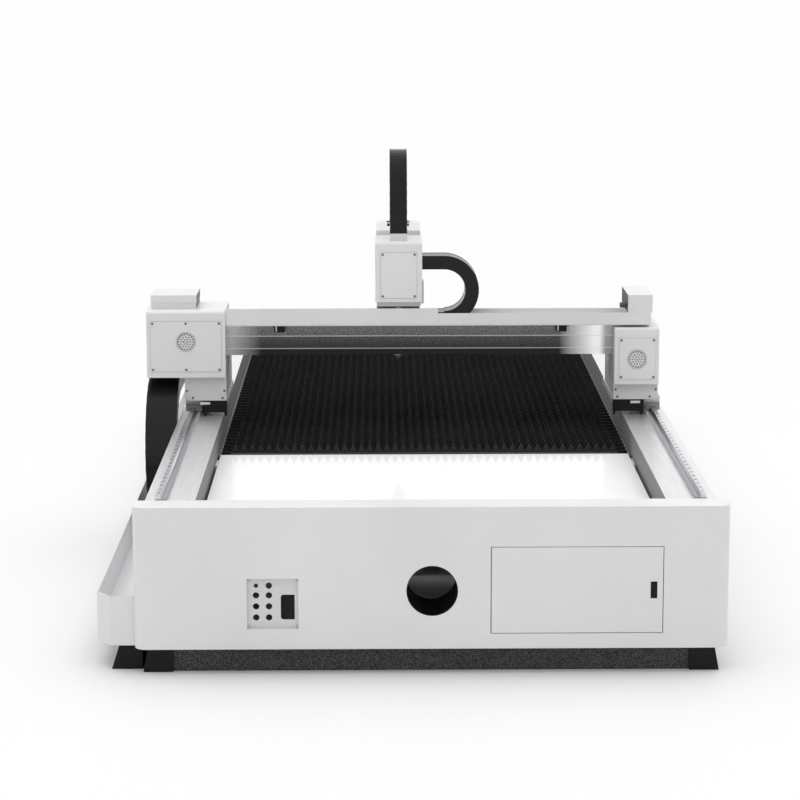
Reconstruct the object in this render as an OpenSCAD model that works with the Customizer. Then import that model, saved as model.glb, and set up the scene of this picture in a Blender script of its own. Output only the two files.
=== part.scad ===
// Open-bed fiber laser cutting machine: a slatted bed, a gantry that runs along it,
// a carriage that runs across the gantry and a cutting head that moves up and down.
// Millimetres. +Z is up, +Y runs along the bed away from the services end, and the
// origin is on the floor at the centre of the four anchor holes.

/* [Bed] */
// Length of the bed over its end panels
bed_length = 4900; // [4860:10:5300]
// Width of the end panels
panel_width = 2150; // [2130:2:2190]
// Height of the end panels' top face above the floor
panel_top = 619; // [600:1:640]
// Height of the skids and plinth
base_height = 95; // [80:1:110]
// Width of each side beam
beam_width = 184; // [176:1:190]
// Wall of the side beams
beam_wall = 12; // [8:0.5:16]
// Thickness of the panel sheet
panel_sheet = 4; // [3:0.5:5]
// Thickness of the flange on top of each end panel
flange_sheet = 12; // [8:0.5:16]
// Depth of that flange
flange_depth = 127; // [100:1:140]
// Radius of the panels' upright corners
panel_corner = 45; // [20:1:50]
// How far the end panels stand out past the side beams
panel_overhang = 33; // [24:1:36]
// Depth of the deck plate below the beams' top
deck_drop = 97; // [85:1:110]
// Thickness of the deck plate
deck_sheet = 6; // [4:0.5:8]
// Gap between the deck plate and the side beams
deck_gap = 11; // [2:1:14]

/* [Slats] */
// Distance from the services end to the first slat
field_start = 1490; // [1450:5:1550]
// Distance from the last slat to the far end, at least
field_margin = 400; // [360:5:430]
// Spacing of the slats
slat_pitch = 70; // [50:1:100]
// Thickness of a slat
slat_sheet = 4; // [2:0.5:6]
// Height of a slat's tips above the deck
slat_rise = 40; // [34:1:46]
// Depth of a slat below the deck
slat_sink = 50; // [44:1:60]
// Spacing of the teeth on a slat
tooth_pitch = 35; // [20:1:60]
// Height of the teeth
tooth_height = 30; // [15:1:32]

/* [Services end] */
// Radius of the exhaust hole
exhaust_r = 93; // [70:1:100]
// Height of the exhaust hole's centre
exhaust_z = 310; // [290:1:330]
// Length of the exhaust duct
exhaust_length = 240; // [150:5:300]
// Width of the connector recess
recess_width = 185; // [180:1:200]
// Height of the connector recess
recess_height = 187; // [180:1:200]
// Depth of the connector recess
recess_depth = 16; // [10:1:24]
// Width of the access door's opening
door_width = 618; // [500:2:640]
// Height of the access door's opening
door_height = 317; // [280:1:330]
// Gap round the access door
door_gap = 2.4; // [2.2:0.1:4]
// Width of the door latch
latch_width = 24; // [20:1:30]
// Height of the door latch
latch_height = 62; // [50:1:80]

/* [Rails and racks] */
// Width of the bed rails
rail_width = 24; // [20:1:28]
// Height of the bed rails
rail_height = 30; // [26:1:34]
// Spacing of the bolt holes in the bed rails
rail_hole_pitch = 66; // [40:1:120]
// Module of the racks and pinions
gear_module = 4; // [3.5:0.25:4.25]
// Teeth on the bed pinions
pinion_teeth = 16; // [14:1:17]
// Height of the racks
rack_height = 14; // [10:1:15]

/* [Gantry] */
// Distance from the services end to the gantry's front face
gantry_rest = 1790; // [1700:5:1850]
// Depth of the drive housings
housing_depth = 290; // [260:1:310]
// Width of the left drive housing
left_housing_width = 335; // [325:1:340]
// Width of the right drive housing
right_housing_width = 190; // [182:1:200]
// Height of the left drive housing
left_housing_height = 286; // [250:1:300]
// Height of the right drive housing
right_housing_height = 245; // [225:1:250]
// Sheet of the housings
housing_sheet = 3; // [2:0.5:4]
// Height of the box on the right drive housing
top_box_height = 138; // [110:1:150]
// Depth of the gantry beam
beam_depth = 200; // [190:1:210]
// Height of the gantry beam
beam_height = 134; // [125:1:140]
// Height of the gantry beam's top face above the floor
beam_top = 1000; // [995:1:1010]
// Depth of the chain trough on the beam
trough_depth = 143; // [138:1:150]
// Height of the trough's front lip on the right
trough_lip = 53; // [40:1:58]
// Height of the trough's front lip on the left
trough_high_lip = 74; // [62:1:76]
// Length of the gantry's feet along the rails
foot_length = 510; // [490:5:530]

/* [Carriage and head] */
// Width of the carriage
carriage_width = 199; // [195:1:206]
// Height of the motor housing on the carriage
motor_housing_height = 257; // [240:1:270]
// Depth of the motor housing
motor_housing_depth = 250; // [240:1:262]
// Height of the vertical axis housing
axis_housing_height = 240; // [235:1:260]
// Height of the nozzle's tip above the floor at rest
nozzle_z = 785; // [775:1:795]
// Diameter of the ball screw
screw_d = 20; // [14:1:24]

/* [Drag chains] */
// Width of the bed chain
bed_chain_width = 132; // [100:1:140]
// Height of the bed chain's links
bed_chain_height = 70; // [55:1:80]
// Width of the cross chain
cross_chain_width = 118; // [90:1:120]
// Height of the cross chain's links
cross_chain_height = 58; // [45:1:60]
// Bend radius of the cross chain
cross_chain_bend = 118; // [110:1:122]
// Width of the vertical chain
head_chain_width = 73; // [60:1:78]
// Height of the vertical chain's links
head_chain_height = 36; // [28:1:40]

/* [Hidden] */
$fn = 48;

// Running clearance of a pin or shaft in its hole
run_fit = 0.05;
// Clearance between flat faces that pass each other
slip = 0.5;
// Extra length of a cut past the face that it opens
cut = 1;

// Bed levels and edges
near = -bed_length / 2;
far = bed_length / 2;
bed_top = panel_top - flange_sheet;
bed_side = panel_width / 2 - panel_overhang;
well_side = bed_side - beam_width;
deck_top = bed_top - deck_drop;
rail_x = bed_side - 52;
rail_near = near + flange_depth + 10;
rail_far = far - flange_depth - 10;

// Skids and anchors
skid_flare = 18;
skid_wall = 10;
skid_outer = bed_side - 14;
skid_width = 90;
skid_setback = 40;
anchor_r = 9;
anchor_x = skid_outer - skid_width / 2;
anchor_y = far - 250;
window_length = 120;
window_height = 50;

// Slat field
field_near = near + field_start;
slat_count = floor((bed_length - field_start - field_margin) / slat_pitch) + 1;
field_far = field_near + (slat_count - 1) * slat_pitch;
slat_end_gap = 13;
slat_half = well_side - slat_end_gap;
slat_flat = 40;
comb_width = 40;
comb_depth = 80;
slat_bottom = deck_top - slat_sink;
comb_top = deck_top - 10;
support_over = 30;

// Services end
recess_x = -panel_width / 2 + 502.5;
recess_z = 263.5;
exhaust_x = 2;
door_left = panel_width / 2 - 860;
door_bottom = 153;
pivot_inset = 8;
pivot_r = 3;
door_edge = 14;
return_depth = 58;
latch_x = door_left + door_width - 32.5;
latch_z = door_bottom + 158;
latch_wall = 2;
latch_depth = 11;
paddle_pin_r = 1.5;
paddle_axis_z = latch_z + latch_height / 2 - latch_wall - 4;
paddle_axis_y = 5;

// Gear geometry
bed_gear_r = gear_module * pinion_teeth / 2;
rack_width = 17;
rack_back = rail_x - rail_width / 2 - 1;
rack_tip = rack_back - rack_width;
bed_pinion_x = rack_tip + gear_module - bed_gear_r;
cross_teeth = 12;
cross_gear_r = gear_module * cross_teeth / 2;
tooth_play = 0.4;

// Gantry stations along Y and levels along Z
gantry_y = near + gantry_rest;
foot_y = gantry_y + 30;
foot_side = rail_x - 148;
foot_plate = 15;
beam_y = gantry_y + 70;
beam_back = beam_y + beam_depth;
trough_y = gantry_y + 10;
block_base = bed_top + rack_height + 2;
block_top = bed_top + 48;
foot_base_sheet = 25;
foot_floor = block_top + foot_base_sheet;
left_inner = -foot_side;
right_inner = foot_side - 26;
left_housing_z = 780;
right_housing_z = 745;
bed_motor_y = gantry_y + 160;
skirt_depth = 40;
block_length = 110;
block_half = 30;
block_stations = [foot_y + 45, foot_y + foot_length - block_length - 45];
cover_sheet = 2;
left_cover_box = [left_inner - left_housing_width + 17, left_housing_z + 26, left_inner - 17,
    left_housing_z + left_housing_height - 43];
right_cover_box = [right_inner + 20, right_housing_z + 23, right_inner + right_housing_width - 14,
    right_housing_z + right_housing_height - 45];

// Cross axis
carriage_x = -carriage_width - 4;
carriage_mid = carriage_x + carriage_width / 2;
cross_rail_size = 20;
cross_rail_z = [beam_top - 110, beam_top - 25];
plate_y = beam_back + 30;
plate_sheet = 18;
plate_back = plate_y + plate_sheet;
bridge_bottom = beam_top + 80;
bridge_sheet = 23;
bridge_top = bridge_bottom + bridge_sheet;
cross_pinion_y = gantry_y + 208;
cross_pinion_z = beam_top + 1;
motor_housing_top = bridge_top + motor_housing_height;

// Vertical axis
axis_rail_size = 15;
axis_rail_x = 55;
slide_gap = 27;
slide_y = plate_back + slide_gap;
slide_sheet = 15;
slide_back = slide_y + slide_sheet;
slide_low = beam_top - beam_height - 10;
slide_high = slide_low + 455;
plate_low = beam_top - beam_height + 2;
plate_top = 1338;
axis_housing_z = 1163;
axis_housing_depth = 185;
screw_y = plate_back + slide_gap / 2;
screw_low = plate_low + 10;
head_depth = 95;
head_width = 92;
head_low = beam_top - beam_height + 30;
head_high = head_low + 205;
barrel_low = nozzle_z + 44;

// Drag chain routes: bend centre, moving end and fixed end of each
chain_wall = 5;
link_gap = 0.8;
tray_sheet = 4;
tray_floor = base_height + 62;
tray_outer = panel_width / 2 + 144;
tray_top = base_height + 183;
tray_near = near + 60;
tray_far = far - 60;
bed_chain_x = -bed_side - 5 - bed_chain_width / 2;
bed_chain_low = tray_floor + bed_chain_height / 2;
bed_chain_high = left_housing_z - 15 - bed_chain_height / 2;
bed_chain_bend = (bed_chain_high - bed_chain_low) / 2;
bed_bend_y = gantry_y + 160;
bed_chain_end = gantry_y + 490;
bed_chain_fixed = near + 3130;
cross_chain_y = trough_y + trough_depth / 2;
cross_chain_low = beam_top + housing_sheet + cross_chain_height / 2;
cross_bend_x = carriage_x + carriage_width + 95;
cross_chain_end = carriage_x + 16;
cross_chain_fixed = -700;
head_near_y = gantry_y + 60;
head_chain_bend = 165;
head_fixed_z = motor_housing_top + 30;
head_bend_z = 1551;
head_end_z = 1400;

white = [0.86, 0.86, 0.87];
pale = [0.78, 0.78, 0.8];
steel = [0.62, 0.63, 0.65];
bright = [0.75, 0.76, 0.78];
black = [0.09, 0.09, 0.095];
dark = [0.22, 0.22, 0.23];
brass = [0.72, 0.5, 0.25];

// Box between two opposite corners
module block(low, high) {
    translate(low) cube(high - low);
}

// Square with round corners, its lower left corner at the origin
module round_rect(size, r) {
    translate([r, 0]) square([size[0] - 2 * r, size[1]]);
    translate([0, r]) square([size[0], size[1] - 2 * r]);
    for (x = [r, size[0] - r], y = [r, size[1] - r]) translate([x, y]) circle(r);
}

// Profile drawn in X and Z, standing at y and reaching depth along +Y
module along_y(y, depth) {
    translate([0, y + depth, 0]) rotate([90, 0, 0]) linear_extrude(depth) children();
}

// Profile drawn in Y and Z, starting at x and reaching width along +X
module along_x(x, width) {
    translate([x, 0, 0]) rotate([90, 0, 90]) linear_extrude(width) children();
}

// Hollow trapezium of a skid in X and Z, its outer foot flared
module skid_profile(inner, outer, flare, inset) {
    polygon([[inner + inset, inset], [outer + flare - inset * 1.2, inset],
        [outer - inset, base_height - inset], [inner + inset, base_height - inset]]);
}

// Long hollow skid with closed ends and bolt windows on its inner side
module skid(inner, outer, y0, y1) {
    difference() {
        along_y(y0, y1 - y0) skid_profile(inner, outer, skid_flare, 0);
        along_y(y0 + skid_wall, y1 - y0 - 2 * skid_wall) skid_profile(inner, outer, skid_flare, skid_wall);
        for (y = [-anchor_y, anchor_y]) {
            translate([anchor_x, y, -cut]) cylinder(h = skid_wall + 2 * cut, r = anchor_r);
            block([inner - cut, y - window_length / 2, skid_wall + 8],
                [inner + skid_wall + cut, y + window_length / 2, skid_wall + 8 + window_height]);
        }
    }
}

module left_skid() {
    color(black) mirror([1, 0, 0]) skid(skid_outer - skid_width, skid_outer, near + skid_setback,
        far - skid_setback);
}

module right_skid() {
    color(black) skid(skid_outer - skid_width, skid_outer, near + skid_setback, far - skid_setback);
}

// Black skid under the cable tray, open below
module tray_skid() {
    inner = bed_side + 10;
    outer = tray_outer - 84;
    flare = 30;
    length = tray_far - tray_near - 44;
    color(black) mirror([1, 0, 0]) difference() {
        along_y(tray_near + 22, length) skid_profile(inner, outer, flare, 0);
        along_y(tray_near + 22 + skid_wall, length - 2 * skid_wall)
            polygon([[inner + skid_wall, -cut], [outer + flare - skid_wall, -cut],
                [outer - skid_wall, base_height - skid_wall], [inner + skid_wall, base_height - skid_wall]]);
    }
}

// Dark strips that close the gap under the end panels
module plinth_strips() {
    strip = 8;
    half = skid_outer - skid_width;
    color(dark) for (y = [near + skid_setback + 15, far - skid_setback - 15 - strip])
        block([-half, y, 0], [half, y + strip, base_height]);
}

// Box beam along one side of the bed
module side_beam() {
    gap = 4;
    along_y(near + panel_sheet + gap, bed_length - 2 * panel_sheet - 2 * gap) difference() {
        translate([well_side, base_height]) square([beam_width, bed_top - base_height]);
        translate([well_side + beam_wall, base_height + beam_wall])
            square([beam_width - 2 * beam_wall, bed_top - base_height - 2 * beam_wall]);
    }
}

module left_side_beam() {
    color(steel) mirror([1, 0, 0]) side_beam();
}

module right_side_beam() {
    color(steel) side_beam();
}

// Tubes that tie the two side beams together
module cross_beams() {
    tube = [120, 80];
    wall = 6;
    under_deck = deck_top - deck_sheet - tube[1];
    high = [near + 300, field_near - 160];
    low = [field_near + 300, (field_near + field_far) / 2, field_far - 300];
    color(steel) {
        for (y = high) cross_tube(y, under_deck, tube, wall);
        for (y = low) cross_tube(y, base_height + 10, tube, wall);
        cross_tube(field_far + 130, under_deck, tube, wall);
    }
}

// Rectangular tube across the well, centred on y
module cross_tube(y, z, tube, wall) {
    along_x(-well_side, 2 * well_side) difference() {
        translate([y - tube[0] / 2, z]) square(tube);
        translate([y - tube[0] / 2 + wall, z + wall]) square([tube[0] - 2 * wall, tube[1] - 2 * wall]);
    }
}

// Plan of a folded end panel, cut off at the given depth
module panel_plan(grow, depth) {
    difference() {
        translate([-panel_width / 2 + grow, grow])
            round_rect([panel_width - 2 * grow, 4 * depth], panel_corner - grow);
        translate([-panel_width, depth]) square([2 * panel_width, 4 * depth]);
    }
}

// Folded sheet panel with short returns and a thick top flange, standing at y = 0 and facing -Y
module end_panel() {
    translate([0, 0, base_height]) linear_extrude(bed_top - base_height) difference() {
        panel_plan(0, return_depth);
        panel_plan(panel_sheet, return_depth + cut);
    }
    translate([0, 0, bed_top]) linear_extrude(flange_sheet) panel_plan(0, flange_depth);
}

// Block behind the panel that holds a pivot pin of the door, its lower face at z
module door_lug(z) {
    difference() {
        block([door_left - 4, panel_sheet, z], [door_left + 2 * pivot_inset + 4, panel_sheet + 12, z + 18]);
        translate([door_left + pivot_inset, pivot_inset, z - cut])
            cylinder(h = 18 + 2 * cut, r = pivot_r + run_fit);
    }
}

module services_panel() {
    color(white) translate([0, near, 0]) {
        difference() {
            end_panel();
            translate([exhaust_x, -cut, exhaust_z]) rotate([-90, 0, 0])
                cylinder(h = panel_sheet + 2 * cut, r = exhaust_r);
            block([recess_x - recess_width / 2, -cut, recess_z - recess_height / 2],
                [recess_x + recess_width / 2, panel_sheet + cut, recess_z + recess_height / 2]);
            block([door_left - door_gap, -cut, door_bottom - door_gap],
                [door_left + door_width + door_gap, panel_sheet + cut, door_bottom + door_height + door_gap]);
        }
        door_lug(door_bottom - door_gap - 18);
        door_lug(door_bottom + door_height + door_gap);
    }
}

module far_panel() {
    color(white) rotate([0, 0, 180]) translate([0, near, 0]) end_panel();
}

// Round duct behind the exhaust hole, with a flange that seats on the panel
module exhaust_duct() {
    wall = 2.5;
    flange = 18;
    color(dark) translate([exhaust_x, near + panel_sheet, exhaust_z]) rotate([-90, 0, 0])
        rotate_extrude() {
            translate([exhaust_r, 0]) square([wall, exhaust_length]);
            translate([exhaust_r, 0]) square([flange, 3]);
        }
}

// Shallow tub behind the panel, with eight round holes and a notch
module connector_plate() {
    sheet = 3;
    columns = [-60.5, -14];
    rows = [64.5, 28.5, -12.5, -53.5];
    hole_r = 11.5;
    small_r = 8;
    rim = 12;
    notch = [50, 92];
    notch_r = 10;
    outer = [recess_width + 2 * rim, recess_height + 2 * rim];
    color(pale) translate([recess_x, near + panel_sheet, recess_z]) difference() {
        union() {
            along_y(0, sheet) translate(-outer / 2) square(outer);
            along_y(0, recess_depth) translate([-recess_width / 2 - sheet, -recess_height / 2 - sheet])
                square([recess_width + 2 * sheet, recess_height + 2 * sheet]);
        }
        along_y(-cut, recess_depth - sheet + cut) translate([-recess_width / 2, -recess_height / 2])
            square([recess_width, recess_height]);
        for (x = columns, z = rows) translate([x, 0, z]) rotate([-90, 0, 0])
            cylinder(h = recess_depth + cut, r = x == columns[0] && z == rows[0] ? small_r : hole_r);
        along_y(0, recess_depth + cut) translate([recess_width / 2 - 14 - notch[0], -61.5]) {
            round_rect(notch, notch_r);
            translate([notch[0] / 2, 0]) square([notch[0] / 2, notch[1]]);
        }
    }
}

// Glossy plates between the slats and the two ends
module deck_plate() {
    side = well_side - deck_gap;
    low = deck_top - deck_sheet;
    color(white) {
        block([-side, near + flange_depth / 2, low], [side, field_near - slat_pitch / 3, deck_top]);
        block([-side, field_far + support_over + 10, low], [side, far - flange_depth / 2, deck_top]);
    }
}

// Toothed outline of one slat in X and Z
module slat_outline() {
    teeth = floor(2 * (slat_half - slat_flat) / tooth_pitch);
    start = -teeth * tooth_pitch / 2;
    tip = deck_top + slat_rise;
    root = tip - tooth_height;
    polygon(concat([[slat_half, root], [slat_half, slat_bottom], [-slat_half, slat_bottom], [-slat_half, root]],
        [for (i = [0:2 * teeth]) [start + i * tooth_pitch / 2, i % 2 == 0 ? root : tip]]));
}

module slats() {
    color(black) for (i = [0:slat_count - 1])
        along_y(field_near + i * slat_pitch - slat_sheet / 2, slat_sheet) slat_outline();
}

// Notched bars on the side beams, a plain bar in the middle and a bar at the first slat's foot
module slat_supports() {
    y0 = field_near - support_over;
    y1 = field_far + support_over;
    foot_bar = 12;
    color(black) {
        for (side = [0, 1]) mirror([side, 0, 0]) difference() {
            block([well_side - comb_width, y0, comb_top - comb_depth], [well_side, y1, comb_top]);
            for (i = [0:slat_count - 1]) translate([well_side - comb_width - cut,
                    field_near + i * slat_pitch - slat_sheet / 2 - slip / 2, slat_bottom])
                cube([comb_width - slat_end_gap + 2 + cut, slat_sheet + slip, comb_top]);
        }
        block([-comb_width / 2, y0, slat_bottom - comb_depth], [comb_width / 2, y1, slat_bottom]);
        block([-slat_half + comb_width, field_near - slat_sheet / 2 - foot_bar, slat_bottom + slip],
            [slat_half - comb_width, field_near - slat_sheet / 2, deck_top + 3]);
    }
}

// Sloped sheet under the slats that gathers the scrap
module scrap_hopper() {
    sheet = 3;
    top = comb_top - comb_depth;
    side = well_side - sheet;
    floor_half = 380;
    low = base_height + 95;
    outline = [[-side, top], [-side, top - 40], [-floor_half, low], [floor_half, low], [side, top - 40],
        [side, top]];
    color(steel) along_y(field_near - support_over, field_far - field_near + 2 * support_over)
        polygon(concat(outline, [for (i = [5:-1:0]) outline[i] - [sign(outline[i][0]) * sheet, -sheet
            * (i > 0 && i < 5 ? 1 : 0)]]));
}

// Guide rail with waisted sides and a row of counterbored bolt holes
module bed_rail() {
    waist = 4;
    edge = 3;
    hole_r = 6;
    hole_depth = 12;
    length = rail_far - rail_near;
    holes = floor(length / rail_hole_pitch);
    first = (rail_near + rail_far) / 2 - (holes - 1) * rail_hole_pitch / 2;
    half = rail_width / 2;
    h = rail_height;
    side = [[half, 0], [half, 0.45 * h], [half - waist, 0.58 * h], [half - waist, 0.78 * h], [half, h - edge],
        [half - edge, h]];
    difference() {
        translate([rail_x, 0, bed_top]) along_y(rail_near, length)
            polygon(concat(side, [for (i = [5:-1:0]) [-side[i][0], side[i][1]]]));
        for (i = [0:holes - 1]) translate([rail_x, first + i * rail_hole_pitch, bed_top + h - hole_depth])
            cylinder(h = hole_depth + cut, r = hole_r);
    }
}

module bed_rails() {
    color(bright) for (side = [0, 1]) mirror([side, 0, 0]) bed_rail();
}

// Rack outline along +X with its tips at y = 0 and its back at y = width, a tooth centred on x = 0
module rack_outline(x0, x1, width) {
    pitch = PI * gear_module;
    slope = tan(20);
    tip_half = pitch / 4 - gear_module * slope;
    root_half = pitch / 4 + 1.25 * gear_module * slope;
    depth = 2.25 * gear_module;
    first = ceil((x0 + pitch / 2) / pitch);
    last = floor((x1 - pitch / 2) / pitch);
    polygon(concat([[x1, width], [x0, width], [x0, depth]],
        [for (i = [first:last], p = [[-root_half, depth], [-tip_half, 0], [tip_half, 0], [root_half, depth]])
            [i * pitch + p[0], p[1]]], [[x1, depth]]));
}

// Corner points of one pinion tooth, in order round the gear
function tooth_points(r, step, middle) = [
    for (p = [[r - 1.25 * gear_module, -0.36], [r, -0.25], [r + gear_module, -0.11],
            [r + gear_module, 0.11], [r, 0.25], [r - 1.25 * gear_module, 0.36]])
        let(a = middle + sign(p[1]) * (abs(p[1]) * step - tooth_play / r * 180 / PI))
            [p[0] * cos(a), p[0] * sin(a)]];

// Toothed disc with a gap centred on +X
module gear(teeth, face) {
    r = gear_module * teeth / 2;
    step = 360 / teeth;
    linear_extrude(face) polygon([for (i = [0:teeth - 1]) each tooth_points(r, step, (i + 0.5) * step)]);
}

// Rack beside the bed rail, its teeth towards the well; a tooth meets the pinion's gap
module bed_rack() {
    mid = bed_motor_y;
    translate([0, mid, bed_top]) linear_extrude(rack_height) rotate(-90)
        translate([0, rack_tip]) rack_outline(mid - rail_far, mid - rail_near, rack_width);
}

module bed_racks() {
    color(steel) for (side = [0, 1]) mirror([side, 0, 0]) bed_rack();
}

// Open-topped tray for the bed chain, with a chamfered corner at each end
module tray_plan(grow) {
    bevel = [56, 75];
    x0 = -tray_outer + grow;
    x1 = -bed_side;
    y0 = tray_near + grow;
    y1 = tray_far - grow;
    slim = grow * 0.45;
    polygon([[x1, y0], [x0 + bevel[0] - slim, y0], [x0, y0 + bevel[1] - slim], [x0, y1 - bevel[1] + slim],
        [x0 + bevel[0] - slim, y1], [x1, y1]]);
}

module cable_tray() {
    color(white) difference() {
        translate([0, 0, base_height]) linear_extrude(tray_top - base_height) tray_plan(0);
        for (z = [[base_height + tray_sheet, tray_floor - tray_sheet], [tray_floor, tray_top + cut]])
            translate([0, 0, z[0]]) linear_extrude(z[1] - z[0]) intersection() {
                tray_plan(tray_sheet);
                translate([-2 * tray_outer, near]) square([2 * tray_outer - bed_side + cut, bed_length]);
            }
    }
}

// Door pan: front sheet, returns on three sides and a pivot edge on the left
module access_door() {
    sheet = 3;
    x0 = door_left;
    x1 = door_left + door_width;
    z0 = door_bottom;
    z1 = door_bottom + door_height;
    inset = 10;
    bevel = 3;
    color(white) translate([0, near, 0]) difference() {
        union() {
            block([x0 + 2 * pivot_inset - cut, 0, z0], [x1, sheet, z1]);
            translate([0, 0, z0]) linear_extrude(z1 - z0) polygon([[x0 + bevel, 0], [x0 + 2 * pivot_inset, 0],
                [x0 + 2 * pivot_inset, door_edge], [x0, door_edge], [x0, bevel]]);
            for (z = [z0, z1 - sheet])
                block([x0 + pivot_inset, sheet - cut, z], [x1 - inset, door_edge, z + sheet]);
            block([x1 - inset - sheet, sheet - cut, z0], [x1 - inset, door_edge, z1]);
        }
        for (z = [z0 - cut, z1 - 12]) translate([x0 + pivot_inset, pivot_inset, z])
            cylinder(h = 12 + cut, r = pivot_r);
        block([latch_x - latch_width / 2, -cut, latch_z - latch_height / 2],
            [latch_x + latch_width / 2, sheet + cut, latch_z + latch_height / 2]);
    }
}

// Pivot pins pressed into the door's left edge
module door_pins() {
    reach = 12;
    color(bright) translate([door_left + pivot_inset, near + pivot_inset, 0]) {
        translate([0, 0, door_bottom - reach - door_gap]) cylinder(h = 2 * reach + door_gap, r = pivot_r);
        translate([0, 0, door_bottom + door_height - reach]) cylinder(h = 2 * reach + door_gap, r = pivot_r);
    }
}

// Black cup set into the door, open to the front
module latch_cup() {
    size = [latch_width, latch_height];
    rim = 3;
    color(black) translate([latch_x, near, latch_z]) difference() {
        union() {
            along_y(0, latch_depth) translate(-size / 2) square(size);
            along_y(3, 2) translate(-size / 2 - [rim, rim]) square(size + 2 * [rim, rim]);
        }
        along_y(-cut, latch_depth - latch_wall + cut)
            translate([-size[0] / 2 + latch_wall, -size[1] / 2 + latch_wall])
                square(size - 2 * [latch_wall, latch_wall]);
        translate([-latch_width, paddle_axis_y, paddle_axis_z - latch_z]) rotate([0, 90, 0])
            cylinder(h = 2 * latch_width, r = paddle_pin_r + run_fit);
    }
}

// Paddle that hangs in the cup on its own trunnions
module latch_paddle() {
    half = latch_width / 2 - latch_wall - slip;
    low = latch_z - latch_height / 2 + latch_wall + 1.5;
    color(black) translate([latch_x, near, 0]) {
        along_x(-half, 2 * half) {
            translate([paddle_axis_y, paddle_axis_z]) circle(3);
            translate([paddle_axis_y - 3, low]) square([3, paddle_axis_z - low]);
        }
        translate([-latch_width / 2, paddle_axis_y, paddle_axis_z]) rotate([0, 90, 0])
            cylinder(h = latch_width, r = paddle_pin_r);
    }
}

// Hollow beam with two grooves on its front face
module gantry_beam() {
    wall = 10;
    groove = [3, 4];
    web = 8;
    room = [(beam_depth - 2 * wall - web) / 2, beam_height - 2 * wall];
    color(bright) along_x(left_inner, right_inner - left_inner) difference() {
        translate([beam_y, beam_top - beam_height]) square([beam_depth, beam_height]);
        for (i = [0, 1]) translate([beam_y + wall + i * (room[0] + web), beam_top - beam_height + wall])
            square(room);
        for (z = [0.19, 0.59]) translate([beam_y - cut, beam_top - beam_height + z * beam_height])
            square([groove[0] + cut, groove[1]]);
    }
}

// Trough on the beam for the cross chain's lower run: a floor strip and three lips, the left front one higher
module chain_trough() {
    x0 = left_inner;
    x1 = right_inner + 154;
    step_x = carriage_x + carriage_width + 68;
    back = trough_y + trough_depth;
    lip_low = beam_top + housing_sheet + slip;
    color(white) {
        block([x0, trough_y, beam_top], [x1, back, beam_top + housing_sheet]);
        block([x0, back - housing_sheet, lip_low], [x1, back, beam_top + trough_lip]);
        block([x0, trough_y, lip_low], [step_x - slip, trough_y + housing_sheet, beam_top + trough_high_lip]);
        block([step_x, trough_y, lip_low], [x1, trough_y + housing_sheet, beam_top + trough_lip]);
    }
}

// Foot of the gantry on one side: base over the slide blocks, upright, and front plate with cut corners
module foot(inner, outer, front_outer, front_top, top) {
    front_sheet = 6;
    bevel = 12;
    nose_r = 34;
    front_low = foot_floor - 5;
    base_y = foot_y + skirt_depth + 4;
    side = inner + housing_sheet;
    housing_back = gantry_y + housing_depth - housing_sheet - slip;
    difference() {
        union() {
            block([inner, base_y, block_top], [outer, foot_y + foot_length, foot_floor]);
            block([side, foot_y, front_low], [side + foot_plate, foot_y + foot_length - 60, front_top]);
            block([side, foot_y, front_low], [side + foot_plate, housing_back, top]);
            block([side, gantry_y + housing_depth + slip, front_low],
                [side + foot_plate, foot_y + foot_length - 60, beam_top - beam_height]);
        }
        translate([bed_pinion_x, bed_motor_y, block_top - cut])
            cylinder(h = foot_base_sheet + 2 * cut, r = nose_r);
    }
    along_y(foot_y, front_sheet) polygon([[inner, front_low], [front_outer - bevel, front_low],
        [front_outer, front_low + bevel], [front_outer, front_top], [inner, front_top]]);
}

module left_foot() {
    color(pale) mirror([1, 0, 0]) foot(foot_side, rail_x + block_half, rail_x + block_half,
        left_housing_z - 5, beam_top);
}

module right_foot() {
    color(pale) foot(right_inner, rail_x + block_half, right_inner + right_housing_width,
        right_housing_z - 3, right_housing_z + right_housing_height - housing_sheet - slip);
}

// Side profile of a housing in Y and Z with a round top edge at the front
module housing_profile(depth, bottom, top, inset) {
    r = 14;
    difference() {
        translate([gantry_y + inset, bottom]) square([depth - 2 * inset, top - bottom - inset]);
        translate([gantry_y + inset - cut, top - inset - r + inset]) square([r - inset + cut, r + cut]);
    }
    translate([gantry_y + r, top - r]) intersection() {
        circle(r - inset);
        translate([-r, 0]) square([r + cut, r]);
    }
}

// Sheet housing, open below, with a window behind its cover plate
module housing(x0, width, depth, bottom, height, window) {
    difference() {
        along_x(x0, width) housing_profile(depth, bottom, bottom + height, 0);
        along_x(x0 + housing_sheet, width - 2 * housing_sheet)
            housing_profile(depth, bottom - cut, bottom + height, housing_sheet);
        block([x0 + window[0], gantry_y - cut, bottom + window[1]],
            [x0 + width - window[0], gantry_y + housing_sheet + cut, bottom + height - window[2]]);
    }
}

module left_housing() {
    color(white) housing(left_inner - left_housing_width, left_housing_width, housing_depth, left_housing_z,
        left_housing_height, [32, 42, 58]);
}

module right_housing() {
    color(white) housing(right_inner, right_housing_width, housing_depth, right_housing_z,
        right_housing_height, [34, 38, 62]);
}

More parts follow.
